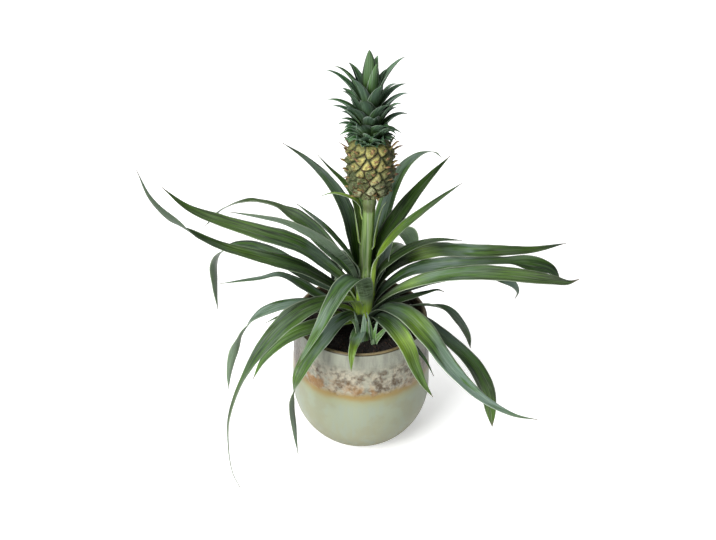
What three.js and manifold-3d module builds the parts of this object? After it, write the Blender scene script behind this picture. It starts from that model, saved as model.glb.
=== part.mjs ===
// A pineapple plant in a round glazed pot. Millimetres, +Z up, the origin at the middle of the pot's
// underside. A heading is an angle about +Z, counted anticlockwise from +X; -Y is the front.
import * as THREE from 'three';
import { mergeVertices } from 'three/addons/utils/BufferGeometryUtils.js';
import Module from 'manifold-3d';

const wasm = await Module();
wasm.setup();

// Driving dimensions
const GAP = 0.3; // between pieces that touch
const POT = {
  belly: 75.5, // largest radius, and the radius of the round lower part
  bellyHeight: 67,
  rim: 71.5,
  height: 156,
  wall: 5,
  floor: 7,
  sides: 44,
};
const SOIL = { level: 145, mound: 3, sides: 40 };
const STEM = {
  x: 4, // the plant stands a little right of the pot's middle
  foot: 116,
  radius: 9.2,
  neckFrom: 205, // the leafy stem narrows here to the fruit's stalk
  neckTo: 224,
  stalk: 6.2,
  top: 311.7,
  lean: 5.5, // how far the stalk's top stands right of its foot
  leanFrom: 210,
  sides: 12,
};
const FRUIT = { bottom: 312, height: 58, radius: 23, around: 8, rows: 8, twist: 0.1, bulge: 1.8 };
const CROWN = { leaves: 40, coreBottom: 9.5, coreTop: 4.5, coreHeight: 62 };
const BLADE = { rib: 1.7, edge: 0.9, tip: 1.6 }; // thicknesses of a leaf, and the width of its tip

// The leaves of the rosette, anticlockwise from the right. turn is the heading at the root and swing
// what it gains in the first half; root is the height at which the leaf leaves the stem; path holds
// points [out, up] of the leaf's middle; wide is its greatest width and taper how fully it keeps that
// towards the tip. rolls holds [share of length, degrees], a turn of the blade about its midrib,
// towards the leaf's left.
const LEAVES = [
  // right
  {
    turn: 5, root: 172, wide: 23, taper: 4.5,
    path: [[22, 189], [49, 210], [90, 216], [135, 218], [177, 213], [202, 203], [213, 187]],
    rolls: [[0, 0], [0.25, 0], [0.4, -7], [0.56, 12], [0.68, 14], [0.85, -45]],
  },
  { turn: 8, root: 190, wide: 15, path: [[17, 213], [32, 228], [54, 241], [78, 246], [104, 243]] },
  {
    turn: 14, root: 160, wide: 13, taper: 5,
    path: [[23, 171], [56, 184], [96, 189], [134, 187], [157, 177], [171, 166], [176, 155], [173, 147]],
    rolls: [[0, 0], [0.65, 0], [0.85, -60]],
  },
  {
    turn: 24, root: 180, wide: 26,
    path: [[22, 200], [42, 213], [78, 217], [120, 206], [165, 194], [210, 184], [252, 181]],
    rolls: [[0, 0], [1, -15]],
  },
  {
    turn: 8, root: 204, wide: 22,
    path: [[16, 241], [31, 272], [52, 305], [70, 328], [86, 346]],
    rolls: [[0, 0], [0.3, -15], [1, -15]],
  },
  // back
  {
    turn: 48, root: 200, wide: 22,
    path: [[17, 233], [26, 262], [42, 296], [63, 315], [88, 319], [111, 311], [124, 299]],
    rolls: [[0, 0], [1, 15]],
  },
  {
    turn: 40, root: 187, wide: 20, taper: 2.5,
    path: [[22, 212], [31, 237], [40, 248], [50, 243], [60, 226], [66, 206]],
    rolls: [[0, 0], [0.4, -30], [1, -45]],
  },
  {
    turn: 64, root: 160, wide: 24,
    path: [[26, 182], [54, 196], [84, 195], [110, 180], [124, 160]],
  },
  {
    turn: 84, root: 171, wide: 26,
    path: [[24, 192], [44, 208], [70, 213], [100, 203], [126, 180], [142, 148], [149, 110], [149, 74]],
    rolls: [[0, 0], [1, 20]],
  },
  { turn: 92, root: 202, wide: 14, path: [[15, 226], [25, 251], [38, 276], [54, 299], [72, 318]] },
  {
    turn: 104, root: 158, wide: 24,
    path: [[26, 176], [54, 187], [84, 184], [110, 168], [128, 140], [136, 106], [136, 66]],
    rolls: [[0, 0], [1, -15]],
  },
  {
    turn: 122, root: 180, wide: 20,
    path: [[22, 199], [38, 205], [50, 201], [59, 188], [65, 171], [67, 156]],
  },
  {
    turn: 136, root: 200, wide: 19, taper: 1.3,
    path: [[13, 223], [17, 246], [24, 271], [38, 292], [60, 307], [90, 317], [121, 321]],
  },
  // left
  {
    turn: 148, root: 190, wide: 21,
    path: [[20, 207], [44, 226], [76, 249], [98, 256], [120, 258], [150, 252], [186, 230], [214, 197]],
    rolls: [[0, 0], [0.2, 20], [0.4, 0], [0.5, -26], [0.58, -22], [0.68, -5], [0.85, -10], [0.95, -40]],
  },
  {
    turn: 160, root: 162, wide: 24, taper: 2.4,
    path: [[24, 175], [62, 190], [100, 207], [138, 213], [164, 204], [177, 184], [179, 152], [178, 118]],
    rolls: [[0, 0], [0.55, 0], [0.75, -25], [0.9, -32]],
  },
  {
    turn: 175, root: 178, wide: 28,
    path: [[19, 194], [36, 213], [68, 241], [109, 255], [150, 268], [185, 283], [210, 306]],
    rolls: [[0, 0], [1, 15]],
  },
  {
    turn: 182, root: 151, wide: 16,
    path: [[22, 163], [46, 180], [70, 199], [91, 211], [110, 207], [132, 204], [154, 201]],
    rolls: [[0, 0], [0.45, 0], [0.6, -12]],
  },
  {
    turn: 188, root: 168, wide: 26, taper: 0.8,
    path: [[20, 183], [36, 198], [68, 223], [109, 241], [151, 260], [192, 292], [214, 321], [225, 355]],
    rolls: [[0, 0], [0.6, 0], [0.8, -75]],
  },
  {
    turn: 200, root: 160, wide: 17, taper: 2.5,
    path: [[20, 169], [38, 178], [70, 189], [104, 190], [128, 179], [146, 148], [154, 118], [156, 96]],
    rolls: [[0, 0], [0.45, 0], [0.66, -40], [0.8, -88], [1, -95]],
  },
  {
    turn: 205, root: 151, wide: 10,
    path: [[20, 160], [40, 172], [60, 180], [80, 184], [98, 185], [115, 181]],
  },
  // front left
  {
    turn: 214, root: 149, wide: 24,
    path: [[31, 158], [57, 165], [84, 168], [109, 163], [129, 149], [141, 131]],
  },
  {
    turn: 222, root: 199, wide: 15,
    path: [[14, 212], [22, 230], [42, 258], [72, 291], [104, 319], [135, 339], [168, 358]],
    rolls: [[0, 0], [0.25, -24], [0.5, -32], [1, -52]],
  },
  {
    turn: 224, root: 207, wide: 14,
    path: [[13, 224], [21, 242], [38, 269], [58, 297], [78, 321], [92, 337]],
    rolls: [[0, 0], [0.25, 34], [1, 40]],
  },
  {
    turn: 228, root: 172, wide: 27, taper: 0.6,
    path: [
      [16, 182], [32, 192], [68, 208], [108, 213], [150, 200],
      [182, 175], [202, 140], [206, 100], [203, 66], [194, 38],
    ],
    rolls: [[0, 0], [0.4, 0], [0.6, -35]],
  },
  {
    turn: 235, root: 154, wide: 22, taper: 0.85,
    path: [
      [17, 166], [36, 174], [55, 176], [81, 171], [101, 163],
      [120, 149], [129, 132], [131, 114], [129, 91], [127, 69], [124, 46],
    ],
    rolls: [[0, 0], [0.5, 0], [0.68, -90], [0.9, -130]],
  },
  {
    turn: 285, swing: -42, root: 162, wide: 22,
    path: [
      [12, 182], [15, 203], [22, 219], [36, 227], [52, 226],
      [66, 222], [80, 217], [97, 209], [116, 202], [133, 196], [146, 191],
    ],
  },
  {
    turn: 260, root: 149, wide: 15,
    path: [[25, 156], [50, 163], [70, 167], [79, 162], [82, 151], [82, 143]],
    rolls: [[0, 0], [0.5, 0], [0.66, 35], [0.85, 0]],
  },
  // front right
  {
    turn: 302, root: 154, wide: 22, taper: 1.9,
    path: [[26, 170], [43, 175], [62, 175], [84, 166], [99, 150], [114, 139], [131, 134]],
  },
  { turn: 311, root: 149, wide: 9, path: [[26, 156], [44, 160], [62, 161], [80, 158], [96, 151], [109, 138]] },
  {
    turn: 318, swing: 6, root: 158, wide: 29, taper: 1,
    path: [
      [17, 168], [30, 179], [55, 182], [81, 166], [106, 140],
      [131, 123], [155, 113], [189, 110], [217, 118],
    ],
  },
  {
    turn: 340, root: 149, wide: 21, taper: 5,
    path: [[34, 163], [60, 163], [85, 152], [108, 136], [127, 116], [141, 90], [147, 62], [150, 40]],
    rolls: [[0, 0], [0.45, 0], [0.9, -50]],
  },
  {
    turn: 342, root: 166, wide: 24, taper: 4,
    path: [[22, 181], [44, 202], [78, 222], [118, 236], [159, 242.5], [200, 245], [214, 245.5], [224, 252]],
    rolls: [[0, 0], [1, -10]],
  },
  { turn: 353, root: 158, wide: 13, path: [[22, 170], [43, 181], [65, 191], [78, 196], [85, 194]] },
  {
    turn: 3, root: 151, wide: 13, taper: 4,
    path: [[22, 159], [49, 166], [72, 166], [90, 159], [103, 144], [114, 123], [118, 105]],
    rolls: [[0, 0], [0.4, 40], [0.7, -30], [1, -70]],
  },
  // the steepest on the right
  {
    turn: 332, root: 207, wide: 18,
    path: [[14, 232], [27, 258], [46, 285], [68, 311], [87, 332], [105, 351]],
    rolls: [[0, 0], [0.3, -25], [1, -25]],
  },
];

// The small leaves of the fruit's stalk, drawn from the middle of the stalk at their root.
const STALK_LEAVES = [
  { turn: 145, root: 234, wide: 10, path: [[9, 254], [12, 275], [20, 295], [33, 311], [48, 325], [61, 334]] },
  { turn: 170, root: 284, wide: 6, path: [[9, 293], [14, 300], [25, 305], [38, 306], [50, 301]] },
  { turn: 320, root: 246, wide: 7, path: [[9, 262], [12, 280], [16, 296], [20, 303]] },
  { turn: 235, root: 252, wide: 5, path: [[8.5, 266], [10, 280], [12, 292]] },
];

// A young side shoot in front of the plant: a stub in the soil and a few small blades.
const SHOOT = {
  x: 13,
  y: -38,
  foot: 128,
  radius: 3.5,
  top: 152,
  blades: [
    { turn: 100, wide: 5, path: [[1, 150], [4, 160], [9, 169], [14, 175]] },
    { turn: 35, wide: 5, path: [[1, 150], [6, 158], [10, 164], [14, 168]] },
    { turn: 215, wide: 5, path: [[1, 150], [4, 155], [7, 158], [10, 159]] },
    { turn: 290, wide: 5, path: [[1, 150], [5, 156], [9, 158], [13, 157]] },
  ],
};

const MATERIALS = {
  glaze: { color: 0xcfcdb8, roughness: 0.3, metalness: 0 },
  soil: { color: 0x1d1613, roughness: 0.95, metalness: 0 },
  leaf: { color: 0x4a6b3a, roughness: 0.5, metalness: 0 },
  stalk: { color: 0x9fb261, roughness: 0.5, metalness: 0 },
  fruit: { color: 0xb9a860, roughness: 0.6, metalness: 0 },
  crown: { color: 0x3f6455, roughness: 0.5, metalness: 0 },
};

const plant = new THREE.Group();

function add(name, geometry, material) {
  const mesh = new THREE.Mesh(geometry, new THREE.MeshStandardMaterial(MATERIALS[material]));
  mesh.name = name;
  plant.add(mesh);
}

const radians = THREE.MathUtils.degToRad;
const smooth = THREE.MathUtils.smoothstep;
const mix = THREE.MathUtils.lerp;

function fromArrays(positions, index) {
  const geometry = new THREE.BufferGeometry();
  geometry.setAttribute('position', new THREE.Float32BufferAttribute(positions, 3));
  geometry.setIndex(index);
  geometry.computeVertexNormals();
  return geometry;
}

// Joins rings of points, each anticlockwise as seen from the far end, into one closed body. cap lists
// the triangles of an end; the quads named in crossed are split along their other diagonal.
function loft(rings, cap, crossed = []) {
  const size = rings[0].length;
  const index = [];
  for (let r = 0; r + 1 < rings.length; r += 1) {
    for (let k = 0; k < size; k += 1) {
      const a = r * size + k;
      const b = r * size + (k + 1) % size;
      if (crossed.includes(k)) {
        index.push(a, b, a + size, b, b + size, a + size);
      } else {
        index.push(a, b, b + size, a, b + size, a + size);
      }
    }
  }
  const last = (rings.length - 1) * size;
  for (const [a, b, c] of cap) {
    index.push(a, c, b, last + a, last + b, last + c);
  }
  return fromArrays(rings.flat().flatMap((point) => point.toArray()), index);
}

function fan(size) {
  return Array.from({ length: size - 2 }, (_, k) => [0, k + 1, k + 2]);
}

function toSolid(geometry) {
  const bare = new THREE.BufferGeometry();
  bare.setAttribute('position', geometry.getAttribute('position').clone());
  bare.setIndex(geometry.getIndex());
  const merged = mergeVertices(bare, 1e-4);
  return new wasm.Manifold(new wasm.Mesh({
    numProp: 3,
    vertProperties: Float32Array.from(merged.getAttribute('position').array),
    triVerts: Uint32Array.from(merged.getIndex().array),
  }));
}

function toGeometry(solid) {
  const mesh = solid.getMesh();
  return fromArrays(Array.from(mesh.vertProperties), Array.from(mesh.triVerts));
}

function union(geometries) {
  return toGeometry(geometries.map(toSolid).reduce((all, one) => all.add(one)));
}

// The stem: upright through the leaves, then a stalk that leans a little to the right.
function stemX(z) {
  return STEM.x + STEM.lean * smooth(z, STEM.leanFrom, STEM.top);
}

function stemRadius(z) {
  return mix(STEM.radius, STEM.stalk, smooth(z, STEM.neckFrom, STEM.neckTo));
}

function buildStem() {
  const heights = [STEM.foot, 150, 178, STEM.neckFrom, 215, STEM.neckTo, 245, 270, 290, STEM.top];
  const rings = heights.map((z) => Array.from({ length: STEM.sides }, (_, k) => {
    const angle = 2 * Math.PI * k / STEM.sides;
    const radius = stemRadius(z);
    return new THREE.Vector3(stemX(z) + radius * Math.cos(angle), radius * Math.sin(angle), z);
  }));
  return loft(rings, fan(STEM.sides));
}

// The pot: a ball cut flat below, with nearly straight sides above and a rounded lip.
function potOutline(inset, bottom) {
  const radius = POT.belly - inset;
  const points = [];
  const lowest = Math.asin(Math.max(-1, (bottom - POT.bellyHeight) / radius));
  for (let k = 0; k <= 8; k += 1) {
    const angle = mix(lowest, 0, k / 8);
    points.push([radius * Math.cos(angle), POT.bellyHeight + radius * Math.sin(angle)]);
  }
  return points;
}

function sideRadius(z) {
  return mix(POT.belly, POT.rim, smooth(z, POT.bellyHeight, POT.height + 30) * 1.35);
}

function buildPot() {
  const lip = POT.wall / 2;
  const shoulder = [90, 115, 138, POT.height - lip].map((z) => [sideRadius(z), z]);
  const round = [30, 90, 150].map((degrees) => [
    sideRadius(POT.height - lip) - lip + lip * Math.cos(radians(degrees)),
    POT.height - lip + lip * Math.sin(radians(degrees)),
  ]);
  const inner = [POT.height - lip, 138, 115, 90].map((z) => [sideRadius(z) - POT.wall, z]);
  const bowl = potOutline(POT.wall, POT.floor).reverse();
  const outline = [[0, 0], ...potOutline(0, 0), ...shoulder, ...round, ...inner, ...bowl, [0, POT.floor]];
  return lathe(outline, POT.sides);
}

function lathe(outline, sides) {
  const points = outline.map(([x, y]) => new THREE.Vector2(x, y));
  return new THREE.LatheGeometry(points, sides).rotateX(Math.PI / 2);
}

// The soil fills the pot; the stem and the shoot stand in plain holes.
function buildSoil() {
  const inset = POT.wall + GAP;
  const sides = [90, 115, SOIL.level].map((z) => [sideRadius(z) - inset, z]);
  const peak = SOIL.level + SOIL.mound;
  const top = [[46, mix(SOIL.level, peak, 0.6)], [20, peak], [0, peak]];
  const outline = [[0, POT.floor + GAP], ...potOutline(inset, POT.floor + GAP), ...sides, ...top];
  const stemHole = hole(STEM.x, 0, STEM.radius + 2 * GAP, STEM.foot - GAP);
  const shootHole = hole(SHOOT.x, SHOOT.y, SHOOT.radius + 2 * GAP, SHOOT.foot - GAP);
  return toGeometry(toSolid(lathe(outline, SOIL.sides)).subtract(stemHole).subtract(shootHole));
}

function hole(x, y, radius, bottom) {
  const top = SOIL.level + 20;
  const cylinder = new THREE.CylinderGeometry(radius, radius, top - bottom, 16);
  return toSolid(cylinder.rotateX(Math.PI / 2).translate(x, y, (top + bottom) / 2));
}

// The share of a leaf's greatest width at a share of its length.
function leafShape(share, taper) {
  const root = 0.3;
  const widest = 0.34;
  if (share < widest) {
    return mix(root, 1, smooth(share, 0, widest));
  }
  return 1 - ((share - widest) / (1 - widest)) ** taper;
}

function rollAt(rolls, share) {
  const next = rolls.findIndex(([at]) => at >= share);
  if (next <= 0) {
    return rolls[next < 0 ? rolls.length - 1 : 0][1];
  }
  const [from, start] = rolls[next - 1];
  const [to, end] = rolls[next];
  return mix(start, end, smooth(share, from, to));
}

// A leaf is a channel section carried along its midrib: six points, thick at the rib, thin at the edges.
function buildLeaf({ turn, swing = 0, root, path, wide, taper = 1.6, rolls = [[0, 0]] }) {
  const steep = Math.atan2(path[0][1] - root, path[0][0] - stemRadius(root));
  const seat = stemRadius(root) + GAP + BLADE.rib / 2 * Math.sin(steep);
  const curve = new THREE.CatmullRomCurve3(
    [[seat, root], ...path].map(([out, up]) => new THREE.Vector3(out, 0, up)),
  );
  const headingAt = (share) => radians(turn + swing * smooth(share, 0, 0.5));
  const place = (share) => {
    const point = curve.getPointAt(share);
    const heading = headingAt(share);
    const x = stemX(root) + point.x * Math.cos(heading);
    return new THREE.Vector3(x, point.x * Math.sin(heading), point.z);
  };
  const steps = Math.max(5, Math.round(curve.getLength() / 22));
  const rings = [];
  for (let k = 0; k <= steps; k += 1) {
    const share = k / steps;
    const [side, up] = axesAt(place, headingAt(share), share);
    const roll = radians(rollAt(rolls, share));
    const left = side.clone().multiplyScalar(Math.cos(roll)).addScaledVector(up, -Math.sin(roll));
    const face = up.clone().multiplyScalar(Math.cos(roll)).addScaledVector(side, Math.sin(roll));
    const half = Math.max(BLADE.tip / 2, wide / 2 * leafShape(share, taper));
    const rise = half * mix(0.05, 0.16, smooth(share, 0, 0.15)) * mix(1, 0.4, share);
    const rib = mix(BLADE.rib, BLADE.edge, share);
    const at = (x, y) => place(share).addScaledVector(left, x).addScaledVector(face, y);
    rings.push([
      at(-half, rise - BLADE.edge / 2),
      at(0, -rise - rib / 2),
      at(half, rise - BLADE.edge / 2),
      at(half, rise + BLADE.edge / 2),
      at(0, -rise + rib / 2),
      at(-half, rise + BLADE.edge / 2),
    ]);
  }
  return loft(rings, [[0, 1, 4], [0, 4, 5], [1, 2, 3], [1, 3, 4]], [3, 4]);
}

// The directions to a blade's left and out of its upper face, at a share of its length.
function axesAt(place, heading, share) {
  const along = place(Math.min(1, share + 0.01)).sub(place(Math.max(0, share - 0.01))).normalize();
  const side = new THREE.Vector3(-Math.sin(heading), Math.cos(heading), 0);
  side.addScaledVector(along, -side.dot(along)).normalize();
  return [side, new THREE.Vector3().crossVectors(along, side)];
}

// A small blade of the crown or the shoot: four points round, widest near its root, growing from x, y.
function buildBlade(x, y, { turn, wide, path }, steps) {
  const curve = new THREE.CatmullRomCurve3(path.map(([out, up]) => new THREE.Vector3(out, 0, up)));
  const heading = radians(turn);
  const place = (share) => {
    const point = curve.getPointAt(share);
    return new THREE.Vector3(x + point.x * Math.cos(heading), y + point.x * Math.sin(heading), point.z);
  };
  const rings = [];
  for (let k = 0; k <= steps; k += 1) {
    const share = k / steps;
    const [side, up] = axesAt(place, heading, share);
    const half = Math.max(0.5, wide / 2 * (1 - share ** 1.7));
    const at = (aside, above) => place(share).addScaledVector(side, aside).addScaledVector(up, above);
    const dip = half * 0.15;
    rings.push([at(-half, dip), at(0, -dip - 0.5), at(half, dip), at(0, 0.5 - dip)]);
  }
  return loft(rings, fan(4), [2, 3]);
}

// Seeded numbers from 0 to 1, for the small unevenness of growth.
function makeRandom(seed) {
  let state = seed;
  return () => {
    state = (state * 16807) % 2147483647;
    return state / 2147483647;
  };
}

// The fruit: a barrel set with six-cornered eyes in staggered rows, each with a small bent bract.
function fruitRadius(z) {
  const level = 2 * (z - FRUIT.bottom) / FRUIT.height - 1;
  return FRUIT.radius * (1 - 0.27 * Math.abs(level) ** 3.4);
}

function fruitPoint(angle, z, lift) {
  const low = FRUIT.bottom + 0.4;
  const high = FRUIT.bottom + FRUIT.height - 0.4;
  const height = THREE.MathUtils.clamp(z, low, high);
  const radius = fruitRadius(height) + lift;
  return new THREE.Vector3(fruitX + radius * Math.cos(angle), radius * Math.sin(angle), height);
}

const fruitX = STEM.x + STEM.lean;

function buildFruit() {
  const random = makeRandom(11);
  const levels = [0, 0.08, 0.25, 0.75, 0.92, 1];
  const core = loft(levels.map((level) => Array.from({ length: 16 }, (_, k) => {
    const z = FRUIT.bottom + FRUIT.height * level;
    const radius = fruitRadius(z) - 0.6;
    const angle = 2 * Math.PI * k / 16;
    return new THREE.Vector3(fruitX + radius * Math.cos(angle), radius * Math.sin(angle), z);
  })), fan(16));
  const pieces = [core];
  const rise = FRUIT.height / FRUIT.rows;
  const pitch = 2 * Math.PI / FRUIT.around;
  for (let row = 0; row < FRUIT.rows; row += 1) {
    for (let k = 0; k < FRUIT.around; k += 1) {
      const angle = (k + row / 2) * pitch + row * FRUIT.twist;
      const z = FRUIT.bottom + rise * (row + 0.5);
      pieces.push(buildEye(angle, z, pitch, rise, mix(0.8, 1.2, random()), (row + k) % 2 === 0));
    }
  }
  return union(pieces);
}

function buildEye(angle, z, pitch, rise, vigour, bracted) {
  const corners = [[0.4, 0], [0.11, 1], [-0.11, 1], [-0.4, 0], [-0.11, -1], [0.11, -1]];
  const ring = (scale, lift) => corners.map(([aside, up]) => (
    fruitPoint(angle + aside * pitch * scale, z + up * rise * scale, lift)
  ));
  const swell = FRUIT.bulge * vigour;
  const cushion = loft([ring(0.86, -2.4), ring(0.45, swell)], fan(6));
  if (!bracted) {
    return cushion;
  }
  const bract = [[1.5, 0, 0], [1.1, 4, 1.5], [0.35, 6.8 * vigour, 5]].map(([radius, out, up]) => (
    [90, 210, 330].map((degrees) => {
      const aside = radius * Math.cos(radians(degrees)) / FRUIT.radius;
      return fruitPoint(angle + aside, z + up + 0.6 * radius * Math.sin(radians(degrees)) - 1, out);
    })
  ));
  return union([cushion, loft(bract, fan(3))]);
}

// The crown: a slim core thickly set with leaves, short and bent down below, upright above.
function buildCrown() {
  const random = makeRandom(8);
  const foot = FRUIT.bottom + FRUIT.height + GAP;
  const core = [0, 0.5, 1].map((level) => Array.from({ length: 8 }, (_, k) => {
    const radius = mix(CROWN.coreBottom, CROWN.coreTop, level);
    const angle = 2 * Math.PI * k / 8;
    const z = foot + CROWN.coreHeight * level;
    return new THREE.Vector3(fruitX + radius * Math.cos(angle), radius * Math.sin(angle), z);
  }));
  const pieces = [loft(core, fan(8))];
  for (let n = 0; n < CROWN.leaves; n += 1) {
    const level = n / (CROWN.leaves - 1);
    pieces.push(buildBlade(fruitX, 0, crownLeaf(foot, level, n * 137.5 + 8 * random(), random()), 3));
  }
  return union(pieces);
}

function crownLeaf(foot, level, turn, chance) {
  const start = foot + mix(3, CROWN.coreHeight - 4, level);
  const upright = smooth(level, 0.72, 1);
  const reach = mix(mix(24, 40, smooth(level, 0, 0.4)), 6, upright) * mix(0.9, 1.05, chance);
  const rise = mix(-3, 38, level ** 1.15) * mix(0.9, 1, chance);
  const root = mix(CROWN.coreBottom, CROWN.coreTop, level) - 3;
  const arch = mix(6, 2, level);
  const middle = [mix(root, reach, 0.5), start + rise * 0.5 + arch];
  const late = [mix(root, reach, 0.82), start + rise * 0.85 + arch * 0.7];
  const path = [[root, start], middle, late, [reach, start + rise]];
  return { turn, wide: mix(8, 15, smooth(level, 0, 0.4)), path };
}

function buildShoot() {
  const stub = new THREE.CylinderGeometry(SHOOT.radius, SHOOT.radius, SHOOT.top - SHOOT.foot, 10);
  stub.rotateX(Math.PI / 2).translate(SHOOT.x, SHOOT.y, (SHOOT.top + SHOOT.foot) / 2);
  return union([stub, ...SHOOT.blades.map((blade) => buildBlade(SHOOT.x, SHOOT.y, blade, 4))]);
}

add('pot', buildPot(), 'glaze');
add('soil', buildSoil(), 'soil');
add('stem', buildStem(), 'stalk');
add('fruit', buildFruit(), 'fruit');
add('crown', buildCrown(), 'crown');
add('side_shoot', buildShoot(), 'leaf');
LEAVES.forEach((leaf, k) => add(`leaf_${String(k + 1).padStart(2, '0')}`, buildLeaf(leaf), 'leaf'));
STALK_LEAVES.forEach((leaf, k) => add(`stalk_leaf_${k + 1}`, buildLeaf(leaf), 'stalk'));

export default plant;
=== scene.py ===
import math
import bpy
import numpy as np
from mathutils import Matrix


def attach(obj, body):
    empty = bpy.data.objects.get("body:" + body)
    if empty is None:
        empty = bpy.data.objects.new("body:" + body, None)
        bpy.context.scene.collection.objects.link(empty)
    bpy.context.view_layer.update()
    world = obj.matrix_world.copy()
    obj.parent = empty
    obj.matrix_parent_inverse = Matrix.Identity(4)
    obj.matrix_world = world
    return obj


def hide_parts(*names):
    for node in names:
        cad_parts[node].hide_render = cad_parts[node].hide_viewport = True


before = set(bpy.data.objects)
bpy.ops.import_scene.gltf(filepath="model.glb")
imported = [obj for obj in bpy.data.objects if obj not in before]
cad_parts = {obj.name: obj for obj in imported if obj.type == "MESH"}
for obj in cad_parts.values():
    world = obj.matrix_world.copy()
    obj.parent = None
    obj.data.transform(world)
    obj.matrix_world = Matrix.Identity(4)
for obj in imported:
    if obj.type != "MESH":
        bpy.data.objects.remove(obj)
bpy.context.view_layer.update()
mm = 0.001
print("pineapple: frame loaded")


# Numbers and curves

def ease(x, low, high):
    # 0 up to low, 1 from high on, an even S between
    t = np.clip((x - low) / (high - low), 0, 1)
    return t * t * (3 - 2 * t)


def between(a, b, t):
    return a + (b - a) * t


def smoothPath(points, count):
    # a curve through the points, its knots spaced by the square root of their distances,
    # read off at count places that are evenly spaced along its length
    points = np.array(points, float)
    p = np.vstack([2 * points[0] - points[1], points, 2 * points[-1] - points[-2]])
    gap = np.linalg.norm(np.diff(p, axis=0), axis=1)[:, None] ** 0.5
    a, b, c, d = p[:-3], p[1:-2], p[2:-1], p[3:]
    before, here, after = gap[:-2], gap[1:-1], gap[2:]
    leave = ((b - a) / before - (c - a) / (before + here) + (c - b) / here) * here
    arrive = ((c - b) / here - (d - b) / (here + after) + (d - c) / after) * here
    t = np.linspace(0, 1, 24, endpoint=False)[:, None, None]
    square = 3 * (c - b) - 2 * leave - arrive
    cube = 2 * (b - c) + leave + arrive
    curve = b + leave * t + square * t ** 2 + cube * t ** 3
    curve = np.vstack([curve.transpose(1, 0, 2).reshape(-1, points.shape[1]), points[-1]])
    run = np.r_[0, np.cumsum(np.linalg.norm(np.diff(curve, axis=0), axis=1))]
    even = np.linspace(0, run[-1], count)
    return np.stack([np.interp(even, run, column) for column in curve.T], 1), run[-1]


def unit(v):
    return v / np.maximum(np.linalg.norm(v, axis=-1, keepdims=True), 1e-9)


def wander(rng, x, waves, longest):
    # a sum of sine waves with seeded phases, the shorter the weaker, about -1 to 1
    total = np.zeros_like(x, float)
    for n in range(1, waves + 1):
        wave = np.sin(2 * np.pi * n * x / longest + rng.uniform(0, 2 * np.pi))
        total = total + wave * rng.uniform(0.4, 1) / n
    return total


# Meshes

def joined(*columns):
    # the columns stretched to one shape and set side by side along a last axis
    return np.stack(np.broadcast_arrays(*columns), -1)


def circle(count):
    # headings all round, evenly spaced
    return np.linspace(0, 2 * np.pi, count, endpoint=False)


def ringFaces(points):
    # four-sided faces between neighbouring rings, and one face over each end ring, for each piece where
    # the points are listed by piece, ring and place in the ring
    pieces, rows, around = ((1,) + points.shape[:-1])[-3:]
    at = np.arange(pieces * rows * around).reshape(pieces, rows, around)
    here, there = at[:, :-1], at[:, 1:]
    sides = joined(here, np.roll(here, -1, 2), np.roll(there, -1, 2), there).reshape(-1, 4)
    ends = np.concatenate([at[:, 0, ::-1], at[:, -1]])
    return sides.tolist() + ends.tolist()


def turned(r, z, around, x=0, y=0):
    # points at the radius r and the height z about an upright line
    return joined(x + r * np.cos(around), y + r * np.sin(around), z)


def addPiece(name, points, material, stands=(), uv=None, marks=None, faces=None):
    # rings in millimetres become one object of the plant; marks are named values kept on the points
    faces = faces or ringFaces(points)
    mesh = bpy.data.meshes.new(name)
    mesh.from_pydata((points.reshape(-1, 3) * mm).tolist(), [], faces)
    mesh.polygons.foreach_set("use_smooth", np.ones(len(faces), bool))
    if uv is not None:
        corner = np.zeros(len(mesh.loops), np.int32)
        mesh.loops.foreach_get("vertex_index", corner)
        flat = uv.reshape(-1, 2)[corner].astype(np.float32).ravel()
        mesh.uv_layers.new(name="blade").data.foreach_set("uv", flat)
    for key, values in (marks or {}).items():
        kept = mesh.attributes.new(key, "FLOAT_VECTOR", "POINT")
        kept.data.foreach_set("vector", values.reshape(-1, 3).astype(np.float32).ravel())
    mesh.materials.append(material)
    mesh.update()
    made = bpy.data.objects.new(name, mesh)
    bpy.context.scene.collection.objects.link(made)
    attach(made, "root")
    if stands:
        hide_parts(*stands)
    return made


# Material nodes; each new one is put in the node tree of the node or socket beside it

def startMaterial(name, roughness):
    material = bpy.data.materials.new(name)
    material.use_nodes = True
    surface = material.node_tree.nodes["Principled BSDF"]
    feed(surface, "Roughness", roughness)
    return material, surface


def feed(node, place, value):
    # an input is linked to the output of another node, or given a value, a colour as opaque
    plug = node.inputs[place]
    if isinstance(value, bpy.types.NodeSocket):
        node.id_data.links.new(value, plug)
    else:
        plug.default_value = (*value, 1) if plug.type == "RGBA" else value


def put(beside, kind, plugs=(), **settings):
    # one node, its settings, and what feeds its inputs
    made = beside.id_data.nodes.new("ShaderNode" + kind)
    for key, value in settings.items():
        setattr(made, key, value)
    for place, value in plugs:
        feed(made, place, value)
    return made


def mixColour(share, a, b):
    return put(share, "Mix", [(0, share), (6, a), (7, b)], data_type="RGBA").outputs[2]


def layers(under, look, steps):
    # colours of the look laid over one another, each by its share
    for name, share in steps:
        under = mixColour(share, under, look[name])
    return under


def maths(operation, a, b=0, clamp=False):
    return put(a, "Math", [(0, a), (1, b)], operation=operation, use_clamp=clamp).outputs[0]


def times(a, b, clamp=False):
    return maths("MULTIPLY", a, b, clamp)


def plus(a, b):
    return maths("ADD", a, b)


def ramp(value, low, high, first=0, last=1):
    # first up to low, last from high on, an even S between
    plugs = [(0, value), (1, low), (2, high), (3, first), (4, last)]
    return put(value, "MapRange", plugs, interpolation_type="SMOOTHSTEP").outputs[0]


def noise(where, scale, detail=3, rough=0.55):
    plugs = [("Vector", where), ("Scale", scale), ("Detail", detail), ("Roughness", rough)]
    return put(where, "TexNoise", plugs).outputs["Fac"]


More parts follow.
